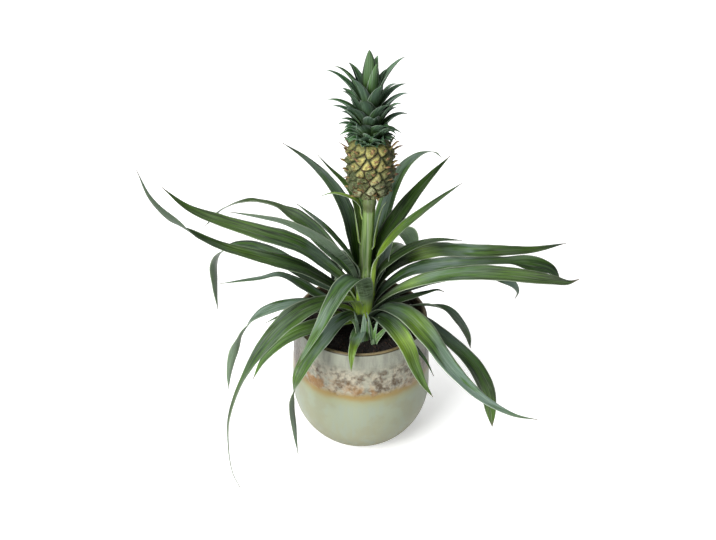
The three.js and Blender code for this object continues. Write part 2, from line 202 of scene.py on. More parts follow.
def stretched(where, scale):
    return put(where, "VectorMath", [(0, where), (1, scale)], operation="MULTIPLY").outputs[0]


def objectPlace(beside):
    return put(beside, "TexCoord").outputs["Object"]


def parts(vector):
    return put(vector, "SeparateXYZ", [(0, vector)]).outputs


def mark(beside, name):
    # the three values of a mark
    return parts(put(beside, "Attribute", attribute_name=name).outputs["Vector"])


def dress(surface, skin, height, distance, strength=1):
    # the colour, and small bumps as high as the distance
    feed(surface, "Base Color", skin)
    plugs = [("Height", height), ("Distance", distance), ("Strength", strength)]
    feed(surface, "Normal", put(surface, "Bump", plugs).outputs[0])


# Camera

view = {"middle": (-3.2, 0, 215), "away": 1322, "down": 34.8, "lens": 1250 / 716 * 36}

camera = bpy.data.objects.new("camera", bpy.data.cameras.new("camera"))
camera.data.lens = view["lens"]
camera.data.sensor_width = 36
slope = math.radians(view["down"])
camera.location = (
    view["middle"][0] * mm,
    -view["away"] * math.cos(slope) * mm,
    (view["middle"][2] + view["away"] * math.sin(slope)) * mm,
)
camera.rotation_euler = (math.pi / 2 - slope, 0, 0)
bpy.context.scene.collection.objects.link(camera)
bpy.context.scene.camera = camera


# Leaf material: marks leafForm (how near the edge, upper face, share of length)
# and a tint mark (brightness, partly painted light and shade; yellow-green; bloom, partly painted
# highlights); the map of the blade is in centimetres

leafLook = {
    "deep": (0.005, 0.019, 0.004),
    "fresh": (0.05, 0.125, 0.014),
    "bloomAndSheen": (0.125, 0.18, 0.145),
    "gold": (0.26, 0.39, 0.035),
    "margin": (0.33, 0.39, 0.28),
    "under": (0.15, 0.2, 0.15),
    "dry": (0.12, 0.09, 0.06),
    "roughness": 0.36,
    "shine": 0.26,
}


def makeLeafMaterial(name, look):
    material, surface = startMaterial(name, look["roughness"])
    feed(surface, "Specular IOR Level", look["shine"])
    across, upper, share = mark(surface, "leafForm")
    toneAndShade, gold, bloomAndSheen = mark(surface, "leafTintAndShade")
    blade = put(surface, "UVMap", uv_map="blade").outputs[0]
    fibre = noise(stretched(blade, (4.5, 0.13, 1)), 1, 3, 0.6)
    broad = noise(stretched(blade, (0.7, 0.14, 1)), 1, 2)
    cloud = noise(stretched(blade, (0.8, 0.16, 1)), 1.3, 2)
    fine = noise(stretched(blade, (12, 0.2, 1)), 1, 2)
    cross = noise(stretched(blade, (1.1, 5.5, 1)), 1, 3)
    lively = plus(ramp(fibre, 0.43, 0.57, 0, 0.8), ramp(broad, 0.42, 0.62, 0, 0.5))
    # the bloom, partly painted highlights, in cloudy patches
    waxy = times(bloomAndSheen, ramp(cloud, 0.38, 0.6, 0.1, 1.4), clamp=True)
    waxy = times(waxy, ramp(fine, 0.3, 0.6, 0.7, 1), clamp=True)
    # painted shade of creases across the underside, between a tenth and a third of the length
    foldShade = times(ramp(share, 0.11, 0.16), ramp(share, 0.32, 0.24))
    foldShade = times(foldShade, ramp(cross, 0.42, 0.56, 0.8, 0))
    above = layers(look["deep"], look, [("fresh", lively), ("bloomAndSheen", waxy)])
    under = layers(look["under"], look, [("fresh", ramp(fine, 0.35, 0.65, 0, 0.5)), ("deep", foldShade)])
    green = layers(mixColour(upper, under, above), look, [
        ("gold", times(gold, ramp(fibre, 0.25, 0.65, 0.55, 1.05), clamp=True)),
        ("margin", ramp(fine, 0.55, 0.66, 0, 0.3)),
        ("margin", times(ramp(across, 0.88, 0.98), ramp(broad, 0.3, 0.6, 0.45, 0.95))),
        ("deep", times(ramp(across, 0, 0.12, 0.3, 0), upper)),
    ])
    # the brightness, partly painted light and shade, scales the colour
    grey = put(toneAndShade, "CombineXYZ", [(k, toneAndShade) for k in range(3)]).outputs[0]
    plugs = [(0, 1), (6, green), (7, grey)]
    green = put(toneAndShade, "Mix", plugs, data_type="RGBA", blend_type="MULTIPLY").outputs[2]
    green = mixColour(ramp(share, 0.95, 1, 0, 0.75), green, look["dry"])
    dress(surface, green, plus(fine, fibre), 0.0005, 0.6)
    return material


leafMaterial = makeLeafMaterial("leafGreen", leafLook)


# Rosette leaves: the heading at the root and what it gains, height of the root, greatest width, the middle
# of the leaf as (out, up), turns of the blade about it, and its tints as (share of length, brightness,
# yellow-green, bloom); the brightness is partly painted light and shade, and the bloom partly painted
# highlights

stemShape = {
    "x": 4, "radius": 9.2, "stalk": 6.2, "neck": (205, 224), "lean": 4.6, "leanFrom": 210,
    "foot": 116, "node": 299, "top": 311.7,
}

plainTints = [(0, 0.7, 0.25, 0.2), (0.2, 0.75, 0, 0.4), (0.6, 0.9, 0.05, 0.2), (1, 0.7, 0, 0.3)]

leaves = {
    "leaf_01": dict(turn=5, root=172, wide=23, taper=4.5,
        rolls=[(0, 0), (0.25, 0), (0.4, -7), (0.56, 12), (0.68, 14), (0.85, -45)],
        tints=[(0, 0.35, 0, 0.2), (0.2, 0.7, 0, 0.6), (0.45, 0.8, 0, 0.8), (0.65, 0.5, 0.02, 0.2),
            (1, 0.45, 0, 0.15)],
        path=[(22, 189), (49, 210), (90, 216), (135, 218), (177, 213), (202, 203), (213, 187)]),
    "leaf_02": dict(turn=8, root=190, wide=15, tints=[(0, 0.8, 0.1, 0.3), (1, 0.6, 0.05, 0.15)],
        path=[(17, 213), (32, 228), (54, 241), (78, 246), (104, 243)]),
    "leaf_03": dict(turn=14, root=160, wide=13, taper=5, rolls=[(0, 0), (0.65, 0), (0.85, -60)],
        tints=[(0, 0.5, 0, 0.3), (1, 0.8, 0, 0.8)],
        path=[(23, 171), (56, 184), (96, 189), (134, 187), (157, 177), (171, 166), (176, 155),
            (173, 147)]),
    "leaf_04": dict(turn=24, root=180, wide=26, rolls=[(0, 0), (1, -15)],
        tints=[(0, 0.35, 0.05, 0), (0.2, 0.35, 0.05, 0), (0.29, 1.1, 0.35, 0.1), (0.38, 0.7, 0.08, 0.4),
            (0.52, 1.35, 0.03, 1), (0.64, 0.7, 0.12, 0.3), (0.85, 0.5, 0.08, 0), (1, 0.4, 0, 0.3)],
        path=[(22, 200), (42, 213), (78, 217), (120, 206), (165, 194), (210, 184), (252, 181)]),
    "leaf_05": dict(turn=8, root=204, wide=26, rolls=[(0, 0), (0.3, -15), (1, -15)],
        tints=[(0, 0.3, 0.03, 0), (1, 0.42, 0, 0)],
        path=[(16, 241), (31, 272), (52, 305), (70, 328), (86, 346)]),
    "leaf_06": dict(turn=48, root=200, wide=22, rolls=[(0, 0), (1, 15)],
        tints=[(0, 0.7, 0, 0.2), (0.4, 1.3, 0, 0.6), (1, 1.4, 0, 0.7)],
        path=[(17, 233), (26, 262), (42, 296), (63, 315), (88, 319), (111, 311), (124, 299)]),
    "leaf_07": dict(turn=39, root=187, wide=25, taper=4, rolls=[(0, 0), (0.3, 5), (0.6, 40), (1, 40)],
        tints=[(0, 1.2, 0, 0.9), (0.5, 2, 0, 1), (1, 3, 0, 1)],
        path=[(22, 212), (31, 232), (43, 244), (54, 242), (63, 229), (67, 206)]),
    "leaf_08": dict(turn=64, root=160, wide=24,
        path=[(26, 182), (54, 196), (84, 195), (110, 180), (124, 160)]),
    "leaf_09": dict(turn=84, root=171, wide=26, rolls=[(0, 0), (1, 20)],
        path=[(24, 192), (44, 208), (70, 213), (100, 203), (126, 180), (142, 148), (149, 110),
            (149, 74)]),
    "leaf_10": dict(turn=92, root=202, wide=14,
        path=[(15, 226), (25, 251), (38, 276), (54, 299), (72, 318)]),
    "leaf_11": dict(turn=104, root=158, wide=24, rolls=[(0, 0), (1, -15)],
        path=[(26, 176), (54, 187), (84, 184), (110, 168), (128, 140), (136, 106), (136, 66)]),
    "leaf_12": dict(turn=122, root=180, wide=20, tints=[(0, 0.4, 0, 0.1), (1, 0.5, 0, 0.2)],
        path=[(22, 199), (38, 205), (50, 201), (59, 188), (65, 171), (67, 156)]),
    "leaf_13": dict(turn=136, root=200, wide=19, taper=1.3,
        tints=[(0, 0.45, 0.02, 0.15), (0.5, 0.6, 0, 0.4), (1, 0.6, 0, 0.5)],
        path=[(13, 223), (17, 246), (24, 271), (38, 292), (60, 307), (90, 317), (121, 321)]),
    "leaf_14": dict(turn=148, root=190, wide=21,
        rolls=[(0, 0), (0.2, 20), (0.4, 0), (0.5, -26), (0.58, -22), (0.68, -5), (0.85, -10),
            (0.95, -40)],
        tints=[(0, 0.6, 0, 0.5), (0.3, 0.55, 0.03, 0.3), (0.5, 0.6, 0.1, 0.15), (0.7, 0.7, 0.08, 0.1),
            (1, 0.7, 0, 0.5)],
        path=[(20, 207), (44, 226), (76, 249), (98, 256), (120, 258), (150, 252), (186, 230),
            (214, 197)]),
    "leaf_15": dict(turn=160, root=162, wide=24, taper=2.4,
        rolls=[(0, 0), (0.55, 0), (0.75, -10), (0.9, -10)],
        tints=[(0, 0.6, 0, 0.4), (0.5, 0.8, 0, 0.5), (1, 1, 0, 0.8)],
        path=[(24, 175), (62, 190), (100, 207), (138, 213), (164, 204), (177, 184), (179, 152),
            (178, 118)]),
    "leaf_16": dict(turn=175, root=178, wide=28, rolls=[(0, 0), (1, 15)],
        tints=[(0, 1.3, 0.8, 0), (0.1, 1, 0.1, 0.7), (0.25, 0.75, 0, 0.5), (0.45, 0.55, 0.02, 0.25),
            (0.6, 0.75, 0.12, 0.1), (1, 0.6, 0.05, 0.05)],
        path=[(19, 194), (36, 213), (68, 241), (109, 255), (150, 268), (185, 283), (210, 306)]),
    "leaf_17": dict(turn=182, root=151, wide=19, rolls=[(0, 0), (0.45, 0), (0.6, -12)],
        tints=[(0, 0.9, 0.8, 0), (0.12, 0.8, 0.05, 0.5), (0.5, 1.1, 0, 0.8), (1, 1, 0.02, 0.5)],
        path=[(22, 163), (46, 180), (70, 199), (91, 211), (110, 207), (132, 204), (154, 201)]),
    "leaf_18": dict(turn=188, root=168, wide=29, taper=0.82, rolls=[(0, 0), (0.66, 0), (0.8, -82)],
        tints=[(0, 1.3, 0.8, 0), (0.1, 0.5, 0.05, 0.2), (0.3, 0.6, 0.03, 0.15), (0.5, 0.9, 0.12, 0.25),
            (0.68, 0.6, 0, 0.2), (0.85, 0.5, 0, 0.4), (1, 0.6, 0, 0.5)],
        path=[(20, 183), (36, 198), (68, 223), (109, 241), (151, 260), (192, 292), (214, 321),
            (225, 355)]),
    "leaf_19": dict(turn=200, root=160, wide=17, taper=2.5,
        rolls=[(0, 0), (0.45, 0), (0.66, -40), (0.8, -88), (1, -95)],
        tints=[(0, 1.6, 0.8, 0), (0.14, 0.7, 0.1, 0.4), (0.4, 1.1, 0, 0.9), (1, 1.1, 0.03, 0.6)],
        path=[(20, 169), (38, 178), (70, 189), (104, 190), (128, 179), (146, 148), (154, 118),
            (156, 96)]),
    "leaf_20": dict(turn=205, root=151, wide=10,
        tints=[(0, 2, 1, 0), (0.2, 1.2, 0.6, 0), (0.4, 0.6, 0.1, 0.1), (1, 0.7, 0, 0.3)],
        path=[(20, 160), (40, 172), (60, 180), (80, 184), (98, 185), (115, 181)]),
    "leaf_21": dict(turn=214, root=149, wide=24,
        tints=[(0, 2, 1, 0), (0.15, 1.3, 0.5, 0), (0.3, 0.8, 0.15, 0.1), (0.6, 0.9, 0.1, 0.2),
            (1, 0.9, 0.1, 0.2)],
        path=[(31, 158), (57, 165), (84, 168), (109, 163), (129, 149), (141, 131)]),
    "leaf_22": dict(turn=222, root=199, wide=15, rolls=[(0, 0), (0.25, -30), (0.5, -40), (1, -54)],
        tints=[(0, 0.5, 0, 0.4), (0.35, 0.8, 0, 0.7), (1, 1.2, 0, 0.9)],
        path=[(14, 212), (22, 230), (42, 258), (72, 291), (104, 319), (135, 339), (168, 358)]),
    "leaf_23": dict(turn=224, root=207, wide=14, rolls=[(0, 0), (0.25, 34), (1, 40)],
        tints=[(0, 0.8, 0, 0.6), (1, 1.1, 0, 0.8)],
        path=[(13, 224), (21, 242), (38, 269), (58, 297), (78, 321), (92, 337)]),
    "leaf_24": dict(turn=228, root=172, wide=27, taper=0.6, rolls=[(0, 0), (0.4, 0), (0.6, -35)],
        tints=[(0, 2, 1, 0), (0.06, 1.2, 0.4, 0), (0.12, 0.6, 0.05, 0.1), (0.22, 0.6, 0.06, 0.1),
            (0.4, 0.75, 0.06, 0.35), (1, 0.7, 0.03, 0.2)],
        path=[(16, 182), (32, 192), (68, 208), (108, 213), (150, 200), (182, 175), (202, 140),
            (206, 100), (203, 66), (194, 38)]),
    "leaf_25": dict(turn=235, root=154, wide=22, taper=0.85,
        rolls=[(0, 0), (0.5, 0), (0.68, -90), (0.9, -130)],
        tints=[(0, 1.1, 0, 1.2), (0.3, 1.1, 0, 1), (0.55, 1, 0.15, 0.2), (0.7, 0.6, 0, 0.1),
            (1, 0.9, 0, 0.7)],
        path=[(17, 166), (36, 174), (55, 176), (81, 171), (101, 163), (120, 149), (129, 132),
            (131, 114), (129, 91), (127, 69), (124, 46)]),
    "leaf_26": dict(turn=285, swing=-42, root=162, wide=22,
        tints=[(0, 2.4, 1, 0), (0.07, 2, 0.8, 0), (0.13, 1.1, 0.1, 0.1), (0.4, 0.85, 0, 0.4),
            (0.75, 1.1, 0.05, 0.6), (1, 1.1, 0.1, 0.3)],
        path=[(12, 182), (15, 203), (22, 219), (36, 227), (52, 226), (66, 222), (80, 217), (97, 209),
            (116, 202), (133, 196), (146, 191)]),
    "leaf_27": dict(turn=260, root=149, wide=15, rolls=[(0, 0), (0.5, 0), (0.66, 35), (0.85, 0)],
        tints=[(0, 0.3, 0, 0.2), (0.18, 0.5, 0, 0.4), (0.3, 1.5, 0, 1), (0.45, 1.7, 0, 1),
            (0.6, 1.1, 0.25, 0.4), (0.68, 1, 0.4, 0), (1, 1, 0.3, 0)],
        path=[(25, 156), (50, 163), (70, 167), (79, 162), (82, 151), (82, 143)]),
    "leaf_28": dict(turn=302, root=154, wide=22, taper=1.9,
        tints=[(0, 0.5, 0, 0.6), (0.25, 0.6, 0.02, 0.4), (0.4, 0.9, 0.12, 0.3), (0.52, 1.2, 0.5, 0.1),
            (0.66, 0.9, 0.25, 0.15), (0.8, 0.8, 0.12, 0.2), (1, 0.8, 0.2, 0.05)],
        path=[(26, 170), (43, 175), (62, 175), (84, 166), (99, 150), (114, 139), (131, 134)]),
    "leaf_29": dict(turn=311, root=149, wide=9, tints=[(0, 0.4, 0, 0.1), (1, 0.5, 0, 0.1)],
        path=[(26, 156), (44, 160), (62, 161), (80, 158), (96, 151), (109, 138)]),
    "leaf_30": dict(turn=318, swing=6, root=158, wide=29, taper=1,
        tints=[(0, 0.6, 0, 0.5), (0.18, 0.7, 0.03, 0.5), (0.3, 1.2, 0.3, 0.4), (0.42, 1.1, 0.05, 0.9),
            (0.55, 1.4, 0, 1), (0.8, 1.1, 0, 0.8), (1, 0.9, 0.03, 0.4)],
        path=[(17, 168), (30, 179), (55, 182), (81, 166), (106, 140), (131, 123), (155, 113),
            (189, 110), (217, 118)]),
    "leaf_31": dict(turn=340, root=149, wide=21, taper=5, rolls=[(0, 0), (0.45, 0), (0.9, -50)],
        tints=[(0, 0.5, 0, 0.7), (0.4, 0.6, 0, 0.6), (0.65, 0.6, 0.02, 0.1), (1, 1, 0.15, 0)],
        path=[(34, 163), (60, 163), (85, 152), (108, 136), (127, 116), (141, 90), (147, 62), (150, 40)]),
    "leaf_32": dict(turn=342, root=166, wide=24, taper=4, rolls=[(0, 0), (1, -10)],
        tints=[(0, 0.5, 0.15, 0.1), (0.14, 0.8, 0.15, 0.3), (0.24, 1.3, 0.35, 0.4),
            (0.34, 1.1, 0.06, 0.6), (0.5, 0.9, 0.04, 0.4), (0.68, 0.7, 0.1, 0), (0.9, 0.5, 0.08, 0),
            (1, 0.35, 0, 0.1)],
        path=[(22, 181), (44, 202), (78, 222), (118, 236), (159, 242.5), (200, 245), (214, 245.5),
            (224, 252)]),
    "leaf_33": dict(turn=353, root=158, wide=13, tints=[(0, 0.4, 0, 0.1), (1, 0.4, 0, 0.1)],
        path=[(22, 170), (43, 181), (65, 191), (78, 196), (85, 194)]),
    "leaf_34": dict(turn=3, root=151, wide=13, taper=4,
        rolls=[(0, 0), (0.4, 40), (0.7, -30), (1, -70)], tints=[(0, 0.5, 0, 0.5), (1, 0.7, 0.02, 0.5)],
        path=[(22, 159), (49, 166), (72, 166), (90, 159), (103, 144), (114, 123), (118, 105)]),
    "leaf_35": dict(turn=332, root=207, wide=18, rolls=[(0, 0), (0.3, -25), (1, -25)],
        tints=[(0, 1.4, 1, 0), (0.15, 1.2, 0.8, 0), (0.32, 0.9, 0.4, 0), (0.5, 0.8, 0.12, 0.3),
            (1, 0.5, 0.02, 0.1)],
        path=[(14, 232), (27, 258), (46, 285), (68, 311), (87, 332), (105, 351)]),
}

stalkLeaves = {
    "stalk_leaf_1": dict(turn=124, swing=20, over=(0.45, 0.9), root=234, wide=10, sheath=6,
        tints=[(0, 1, 0.5, 0), (0.3, 0.8, 0.2, 0.1), (1, 0.6, 0, 0.1)],
        path=[(9, 254), (12, 275), (20, 295), (33, 311), (48, 325), (61, 334)]),
    "stalk_leaf_2": dict(turn=170, root=284, wide=6, sheath=6,
        tints=[(0, 1, 0.7, 0), (1, 0.9, 0.2, 0.1)],
        path=[(9, 293), (14, 300), (25, 305), (38, 306), (50, 301)]),
    "stalk_leaf_3": dict(turn=345, root=246, wide=6, sheath=3, tints=[(0, 1, 0.8, 0), (1, 1, 0.5, 0)],
        path=[(10, 262), (13, 280), (17, 296), (21, 303)]),
    "stalk_leaf_4": dict(turn=195, root=252, wide=5, sheath=3, tints=[(0, 1, 0.6, 0), (1, 1, 0.5, 0)],
        path=[(10, 266), (11.5, 280), (13, 292)]),
}

bladeShape = {
    "rows": 88, "steps": 9, "rib": 1.5, "edge": 0.45, "clasp": 0.55, "dip": 0.34, "flutter": 0.035,
    "sheath": 26,
}


def stemX(z):
    return stemShape["x"] + stemShape["lean"] * ease(z, stemShape["leanFrom"], stemShape["top"])


def stemRadius(z):
    return between(stemShape["radius"], stemShape["stalk"], ease(z, *stemShape["neck"]))


def shareOfWidth(share, taper, root):
    # rises from the root to the full width at a third of the length, then falls to the tip
    rising = between(root, 1, ease(share, 0, 0.34))
    falling = 1 - (np.clip(share - 0.34, 0, None) / 0.66) ** taper
    return np.where(share < 0.34, rising, falling)


def rollAlong(rolls, share):
    roll = np.full_like(share, rolls[0][1], float)
    for (start, first), (end, last) in zip(rolls, rolls[1:]):
        roll = np.where(share > start, between(first, last, ease(share, start, end)), roll)
    return np.radians(roll)


def leafRings(leaf, rng, shape=bladeShape, root=0.5):
    # a sheath up along the stem, then the path in an upright plane; across it a channel whose depth goes
    # with the 1.6th power of the distance from the rib, the thickness falling evenly from rib to edge
    rows, steps, sheath = shape["rows"], shape["steps"], leaf.get("sheath", shape["sheath"])
    level = leaf["root"]
    seat = leaf.get("seat", stemRadius(level))
    start = [(seat + 0.3, level - sheath), (seat + 1.2, level - 0.4 * sheath), (seat + 2, level)]
    path, length = smoothPath(start + leaf["path"], rows)
    run = np.linspace(0, length, rows)
    beyond = (run - sheath) / (length - sheath)
    share = np.clip(beyond, 0, 1)
    heading = np.radians(leaf["turn"] + leaf.get("swing", 0) * ease(share, *leaf.get("over", (0, 0.5))))
    across = path[:, 0]
    middle = joined(stemX(level) + across * np.cos(heading), across * np.sin(heading), path[:, 1])
    along = unit(np.gradient(middle, axis=0))
    side = joined(-np.sin(heading), np.cos(heading), 0)
    side = unit(side - along * (side * along).sum(1, keepdims=True))
    up = np.cross(along, side)
    roll = rollAlong(leaf.get("rolls", [(0, 0)]), share)[:, None]
    left = side * np.cos(roll) - up * np.sin(roll)
    face = up * np.cos(roll) + side * np.sin(roll)
    half = leaf["wide"] / 2 * shareOfWidth(share, leaf.get("taper", 1.6), root)
    half = np.maximum(half * (1 + 0.02 * wander(rng, run, 3, 90)), 0.35)[:, None]
    reach = np.linspace(1, -1, steps + 1)
    x = np.concatenate([reach, reach[::-1]])
    top = np.concatenate([np.ones(steps + 1), -np.ones(steps + 1)])
    dip = between(shape["clasp"], shape["dip"], ease(share, 0.02, 0.3)) * between(1, 0.5, share)
    sag = half * (dip[:, None] * np.abs(x) ** 1.6 - 0.12)
    ripple = [wander(rng, run + 200 * k, 4, 70)[:, None] * half * shape["flutter"] for k in (0, 1)]
    sag = sag + np.where(x > 0, *ripple) * np.abs(x) ** 3 * ease(share, 0.1, 0.3)[:, None]
    rib = shape["rib"] * between(1, 0.5, share)[:, None]
    lift = sag + top * between(rib, shape["edge"], np.abs(x) ** 0.8) / 2
    rings = middle[:, None] + left[:, None] * (half * x)[..., None] + face[:, None] * lift[..., None]
    uv = joined(half * x / 10, run[:, None] / 10 + rng.uniform(0, 90))
    form = joined(np.abs(x)[None], (top[None] + 1) / 2, beyond[:, None])
    return rings, uv, form


def leafTintAndShade(leaf, share):
    # the sheath, before the blade begins, turns yellow-green downward, and brighter: a painted light
    # against the shade at the stem
    tints = np.array(leaf.get("tints", plainTints), float)
    toneAndShade, gold, bloomAndSheen = [np.interp(share, tints[:, 0], tints[:, k]) for k in (1, 2, 3)]
    below = ease(-share, 0, 0.07)
    return joined(between(toneAndShade, 1.4, below), between(gold, 0.95, below), bloomAndSheen * (1 - below))


def addLeaf(name, leaf, seed):
    rings, uv, form = leafRings(leaf, np.random.default_rng(seed))
    marks = {"leafForm": form, "leafTintAndShade": leafTintAndShade(leaf, form[..., 2])}
    addPiece("blade-" + name, rings, leafMaterial, [name], uv, marks)


for number, (name, leaf) in enumerate(leaves.items()):
    addLeaf(name, leaf, 100 + number)
for number, (name, leaf) in enumerate(stalkLeaves.items()):
    addLeaf(name, leaf, 300 + number)
print("pineapple: leaves made", len(leaves) + len(stalkLeaves))


# Stem and stalk: a round profile carried up the leaning line, swollen a little at the node

stalkLook = {
    "green": (0.065, 0.135, 0.022),
    "pale": (0.195, 0.29, 0.09),
    "waxy": (0.24, 0.3, 0.17),
    "node": (0.06, 0.068, 0.022),
    "nodeHeight": (0.291, 0.302),
}


def makeStalkMaterial(look):
    material, surface = startMaterial("stalkGreen", 0.42)
    where = objectPlace(surface)
    streak = noise(stretched(where, (500, 500, 14)), 1)
    wax = noise(stretched(where, (260, 260, 5)), 1, 2)
    level = plus(parts(where)[2], times(noise(where, 500), 0.006))
    low, high = look["nodeHeight"]
    dark = times(ramp(level, low, low + 0.004), ramp(level, high, high + 0.006, 1, 0.35))
    skin = layers(look["green"], look, [
        ("pale", ramp(streak, 0.38, 0.56)),
        ("waxy", ramp(wax, 0.48, 0.62, 0, 0.8)),
        ("node", times(dark, 0.8)),
    ])
    dress(surface, skin, streak, 0.0006, 0.6)
    return material


def addStem():
    around = circle(40)
    z = np.linspace(stemShape["foot"], stemShape["top"], 120)
    above = z - stemShape["node"]
    radius = stemRadius(z) + 1.1 * np.exp(-(above / 3.5) ** 2) + 0.9 * ease(above, 5, 12)
    grooves = 0.18 * np.cos(7 * around)[None] + 0.12 * np.cos(11 * around + 1)[None]
    r = radius[:, None] + grooves
    points = turned(r, z[:, None], around, stemX(z)[:, None])
    addPiece("stem-and-stalk", points, makeStalkMaterial(stalkLook), ["stem"])


addStem()
print("pineapple: stem made")


# Fruit: eyes in staggered rows that climb a little, as on the solid one

fruitShape = {
    "bottom": 312, "height": 58, "radius": 23.2, "around": 10, "rows": 8, "twist": 0.1,
    "bulge": 2, "groove": 1.2, "columns": 340, "levels": 190,
}
fruitX = stemShape["x"] + stemShape["lean"]


def fruitRadius(z):
    # a barrel: the radius shrinks with the 3.4th power of the distance from its middle height
    level = 2 * (z - fruitShape["bottom"]) / fruitShape["height"] - 1
    return fruitShape["radius"] * (1 - 0.27 * np.abs(level) ** 3.4)


def eyePlaces(rng):
    row, k = np.meshgrid(np.arange(fruitShape["rows"]), np.arange(fruitShape["around"]), indexing="ij")
    angle = (k + row / 2) * 2 * np.pi / fruitShape["around"] + row * fruitShape["twist"]
    z = fruitShape["bottom"] + fruitShape["height"] / fruitShape["rows"] * (row + 0.5)
    angle = angle + rng.normal(0, 0.085, row.shape)
    return angle.ravel(), (z + rng.normal(0, 1, row.shape)).ravel()


def addFruit(material, eyeAngle, eyeZ, rng):
    # each point rises with its distance from the border between its eye and the next nearest one;
    # the lower half of an eye stands out more, and its middle has a small pit
    low, high = fruitShape["bottom"], fruitShape["bottom"] + fruitShape["height"]
    angle = circle(fruitShape["columns"])
    z = np.linspace(low, high, fruitShape["levels"])[:, None] + 0 * angle
    aside = (angle[None, :, None] - eyeAngle + np.pi) % (2 * np.pi) - np.pi
    aside = aside * fruitShape["radius"]
    above = z[..., None] - eyeZ
    far = np.sqrt(aside ** 2 + (0.95 * above) ** 2)
    order = np.argpartition(far, 1, axis=-1)[..., :2]
    near = np.take_along_axis(far, order, -1)
    own = np.take_along_axis(order, np.argmin(near, -1)[..., None], -1)[..., 0]
    margin = near.max(-1) - near.min(-1)
    centre = near.min(-1)
    up = np.take_along_axis(above, own[..., None], -1)[..., 0]
    vigour = rng.uniform(0.6, 1.4, len(eyeZ))[own]
    swell = fruitShape["bulge"] * vigour * ease(margin, 0, 7) ** 0.7 * (1 - 0.07 * up)
    swell = swell - fruitShape["groove"] * (1 - ease(margin, 0, 1.2))
    lip = 1.0 * np.exp(-((up + 1.0 + 0.05 * centre ** 2) / 0.9) ** 2) * ease(margin, 1, 4)
    pit = -0.9 * np.exp(-(centre / 1.5) ** 2)
    grain = 0.16 * wander(rng, angle[None] * 90 + z * 3, 4, 17)
    grain = grain + 0.14 * wander(rng, angle[None] * 60 - z * 5, 3, 13)
    fade = ease(z, low, low + 3) * (1 - ease(z, high - 3, high))
    r = fruitRadius(z) + (swell + lip + pit + grain) * between(0.3, 1, fade) - 0.6
    ripeness = rng.uniform(0, 1, len(eyeZ))[own][..., None] * np.array([1, 0, 0])
    marks = {"eye": joined(margin, centre, up), "eyeKind": ripeness}
    points = turned(r, z, angle, fruitX)
    addPiece("fruit-body", points, material, ["fruit"], marks=marks)


fruitLook = {
    "green": (0.034, 0.054, 0.011),
    "olive": (0.125, 0.15, 0.036),
    "cream": (0.52, 0.47, 0.14),
    "pale": (0.38, 0.4, 0.22),
    "pink": (0.2, 0.085, 0.035),
    "dark": (0.016, 0.024, 0.005),
    "bract": (0.21, 0.095, 0.048),
    "bractTip": (0.065, 0.025, 0.016),
}


# the heights over which the fruit ripens or pales, and where the painted shade on its sides and at its top
# under the crown begins and is full, all in metres
fruitBands = {
    "ripe": (0.338, 0.358), "lowest": (0.332, 0.322), "cream": (0.325, 0.35), "top": (0.366, 0.371),
    "right": (0.018, 0.034), "left": (0.011, -0.006),
}


def makeFruitMaterial(look, bands):
    # eyes ripen with their own chance and towards the fruit's middle; flakes, threads and borders over
    # them;
    # painted shade on the sides and at the top
    material, surface = startMaterial("fruitSkin", 0.5)
    margin, centre, up = mark(surface, "eye")
    where = objectPlace(surface)
    place = parts(where)
    height = place[2]
    speck = noise(where, 850, 5, 0.7)
    patch = noise(where, 210, 4, 0.6)
    flake = noise(stretched(where, (420, 420, 1100)), 1, 4, 0.6)
    ripe = plus(times(mark(surface, "eyeKind")[0], 0.7), times(patch, 0.9))
    ripe = plus(ripe, ramp(height, *bands["ripe"], -0.12, 0.22))
    ripe = plus(ripe, ramp(height, *bands["lowest"], 0, 0.2))
    ripe = times(ramp(margin, 1, 4), ramp(ripe, 0.52, 0.9))
    scales = times(ramp(flake, 0.55, 0.64), ramp(margin, 0.6, 2.5))
    thread = ramp(maths("ABSOLUTE", plus(flake, -0.5)), 0.006, 0.02, 1, 0)
    thread = times(thread, ramp(margin, 5, 1.5, 0.35, 1))
    ragged = plus(margin, times(speck, 1.6))
    # painted shade: dark green towards the left and right sides and at the top under the crown
    aside = plus(place[0], times(patch, 0.012))
    sides = ramp(aside, *bands["right"], 0, 0.8), ramp(aside, *bands["left"], 0, 0.65)
    paintedShade = maths("MAXIMUM", maths("MAXIMUM", *sides), ramp(height, *bands["top"], 0, 0.5))
    yellow = mixColour(ramp(height, *bands["cream"]), look["pale"], look["cream"])
    body = mixColour(ramp(speck, 0.4, 0.62), look["green"], look["olive"])
    body = layers(mixColour(ripe, body, yellow), look, [
        ("pale", times(scales, 0.75)),
        ("pink", times(ramp(up, -5.5, 0.5, 1, 0), ramp(patch, 0.48, 0.6, 0, 0.9))),
        ("dark", ramp(speck, 0.33, 0.42, 0.7, 0)),
        ("bractTip", times(thread, 0.9)),
        ("pink", times(ramp(ragged, 1.3, 2.6, 0.85, 0), ramp(patch, 0.47, 0.56))),
        ("dark", ramp(ragged, 1, 2.1, 0.95, 0)),
        ("bractTip", ramp(centre, 0.6, 1.6, 0.6, 0)),
        ("green", paintedShade),
    ])
    dress(surface, body, plus(speck, flake), 0.0014, 0.8)
    return material


def makeBractMaterial(look):
    material, surface = startMaterial("bractPaper", 0.6)
    share = mark(surface, "leafForm")[2]
    fleck = noise(objectPlace(surface), 500)
    paper = layers(look["bract"], look, [
        ("cream", ramp(fleck, 0.45, 0.65, 0, 0.7)),
        ("olive", ramp(share, 0, 0.35, 0.8, 0)),
        ("bractTip", ramp(share, 0.6, 0.95, 0, 0.85)),
    ])
    dress(surface, paper, fleck, 0.0005, 0.5)
    return material


